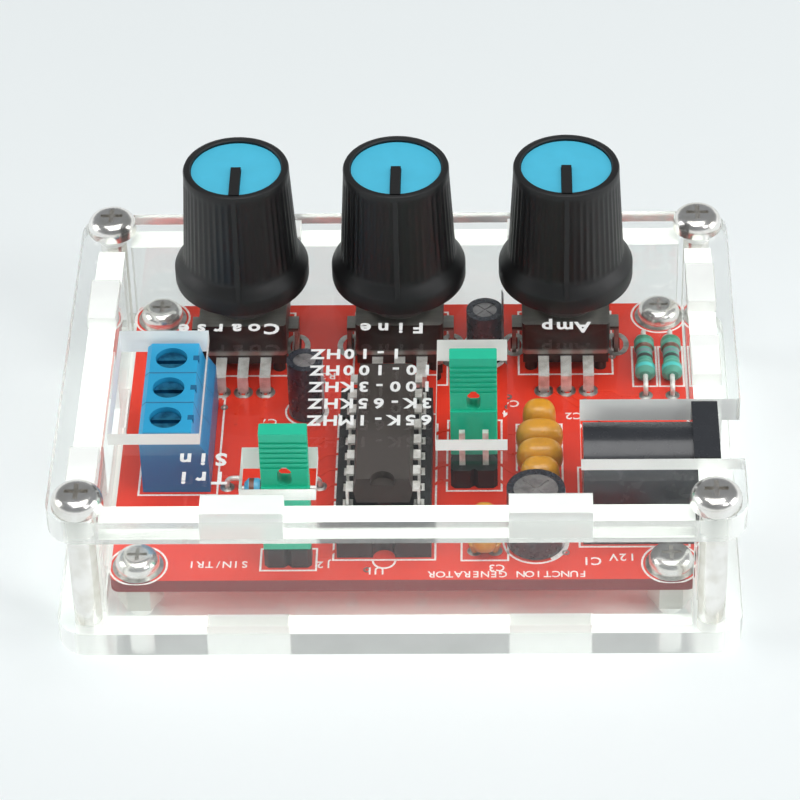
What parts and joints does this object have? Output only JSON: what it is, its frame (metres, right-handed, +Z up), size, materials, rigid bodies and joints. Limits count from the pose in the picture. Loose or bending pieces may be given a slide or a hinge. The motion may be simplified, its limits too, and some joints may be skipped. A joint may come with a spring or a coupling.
{
  "type": "function generator",
  "caption": "Small kit function generator: a red circuit board in a clear acrylic case, with turning knobs, lift-off selector caps, a screw terminal and a barrel power inlet.",
  "frame": {"origin": "centre of the bottom plate's underside, which rests on the bench", "axes": "+Z up through the knobs; +X along the case's long side, towards the power inlet; +Y towards the knob side"},
  "size_m": [0.0736, 0.0532, 0.0345],
  "materials": {
    "clear_acrylic": "clear laser-cut acrylic sheet with polished faces",
    "screw_steel": "nickel-plated steel",
    "board_red": "glass-fibre laminate with glossy red solder mask",
    "solder": "tin solder",
    "terminal_blue": "moulded nylon, satin",
    "contact_tin": "tin-plated copper alloy",
    "black_nylon": "moulded black plastic, satin",
    "chip_epoxy": "moulded epoxy",
    "socket_black": "moulded black polyester",
    "brass": "gold-flashed brass",
    "pot_can": "tin-plated steel can",
    "wafer_brown": "phenolic laminate",
    "shaft_white": "turned aluminium",
    "knob_black": "satin black ABS with fine ribs",
    "knob_blue": "sky-blue plastic disc",
    "jumper_green": "green moulded plastic",
    "can_aluminium": "drawn aluminium",
    "can_sleeve": "heat-shrunk printed sleeve",
    "dipped_yellow": "dipped epoxy coat",
    "resistor_teal": "lacquer with colour bands",
    "resistor_blue": "lacquer with colour bands"
  },
  "bodies": {
    "case": {"top_plate": "clear_acrylic", "bottom_plate": "clear_acrylic", "front_panel": "clear_acrylic", "rear_panel": "clear_acrylic", "left_panel": "clear_acrylic", "right_panel": "clear_acrylic", "case_screws": "screw_steel", "board_screws": "screw_steel", "board_spacers": "brass", "circuit_board": "board_red", "solder_joints": "solder", "terminal_body": "terminal_blue", "terminal_pins": "contact_tin", "jack_contacts": "contact_tin", "socket_contacts": "contact_tin", "ic_leads": "contact_tin", "pot_terminals": "contact_tin", "component_leads": "contact_tin", "jack_centre_pin": "contact_tin", "jack_body": "black_nylon", "wave_header_base": "black_nylon", "range_header_base": "black_nylon", "ic_socket": "socket_black", "ic_body": "chip_epoxy", "wave_header_pins": "brass", "range_header_pins": "brass", "pot_cover_1": "pot_can", "pot_cover_2": "pot_can", "pot_cover_3": "pot_can", "pot_wafer_1": "wafer_brown", "pot_wafer_2": "wafer_brown", "pot_wafer_3": "wafer_brown", "large_capacitor_can": "can_aluminium", "small_capacitor_cans": "can_aluminium", "large_capacitor_sleeve": "can_sleeve", "small_capacitor_sleeves": "can_sleeve", "dipped_capacitors": "dipped_yellow", "resistor_pair": "resistor_teal", "resistor_single": "resistor_blue"},
    "control_1": {"knob_1": "knob_black", "knob_disc_1": "knob_blue", "pot_shaft_1": "shaft_white"},
    "control_2": {"knob_2": "knob_black", "knob_disc_2": "knob_blue", "pot_shaft_2": "shaft_white"},
    "control_3": {"knob_3": "knob_black", "knob_disc_3": "knob_blue", "pot_shaft_3": "shaft_white"},
    "wire_screw_1": {"terminal_screw_1": "screw_steel"},
    "wire_cage_1": {"terminal_clamp_1": "contact_tin"},
    "wire_screw_2": {"terminal_screw_2": "screw_steel"},
    "wire_cage_2": {"terminal_clamp_2": "contact_tin"},
    "wire_screw_3": {"terminal_screw_3": "screw_steel"},
    "wire_cage_3": {"terminal_clamp_3": "contact_tin"},
    "wave_selector": {"wave_jumper": "jumper_green", "wave_jumper_contact": "brass"},
    "range_selector": {"range_jumper": "jumper_green", "range_jumper_contact": "brass"}
  },
  "joints": [
    {"name": "control_1_turn", "type": "hinge", "parent": "case", "child": "control_1", "pos_m": [-0.018, 0.0146, 0.0194], "axis": [0, 0, 1], "range_deg": [-140, 140]},
    {"name": "control_2_turn", "type": "hinge", "parent": "case", "child": "control_2", "pos_m": [-0.0004, 0.0146, 0.0194], "axis": [0, 0, 1], "range_deg": [-140, 140]},
    {"name": "control_3_turn", "type": "hinge", "parent": "case", "child": "control_3", "pos_m": [0.0183, 0.0146, 0.0194], "axis": [0, 0, 1], "range_deg": [-140, 140]},
    {"name": "wire_screw_1_turn", "type": "hinge", "parent": "case", "child": "wire_screw_1", "pos_m": [-0.0253, 0.00223, 0.017], "axis": [0, 0, 1], "range_deg": [-1800, 0]},
    {"name": "wire_cage_1_rise", "type": "slide", "parent": "case", "child": "wire_cage_1", "axis": [0, 0, 1], "range_m": [0, 0.00225]},
    {"name": "wire_screw_2_turn", "type": "hinge", "parent": "case", "child": "wire_screw_2", "pos_m": [-0.0253, -0.00285, 0.017], "axis": [0, 0, 1], "range_deg": [-1800, 0]},
    {"name": "wire_cage_2_rise", "type": "slide", "parent": "case", "child": "wire_cage_2", "axis": [0, 0, 1], "range_m": [0, 0.00225]},
    {"name": "wire_screw_3_turn", "type": "hinge", "parent": "case", "child": "wire_screw_3", "pos_m": [-0.0253, -0.00793, 0.017], "axis": [0, 0, 1], "range_deg": [-1800, 0]},
    {"name": "wire_cage_3_rise", "type": "slide", "parent": "case", "child": "wire_cage_3", "axis": [0, 0, 1], "range_m": [0, 0.00225]},
    {"name": "wave_selector_lift", "type": "slide", "parent": "case", "child": "wave_selector", "axis": [0, 0, 1], "range_m": [0, 0.012]},
    {"name": "range_selector_lift", "type": "slide", "parent": "case", "child": "range_selector", "axis": [0, 0, 1], "range_m": [0, 0.012]}
  ],
  "couplings": [
    {"joint": "wire_screw_1_turn", "follows": "wire_cage_1_rise", "rad_per_m": -13963},
    {"joint": "wire_screw_2_turn", "follows": "wire_cage_2_rise", "rad_per_m": -13963},
    {"joint": "wire_screw_3_turn", "follows": "wire_cage_3_rise", "rad_per_m": -13963}
  ]
}
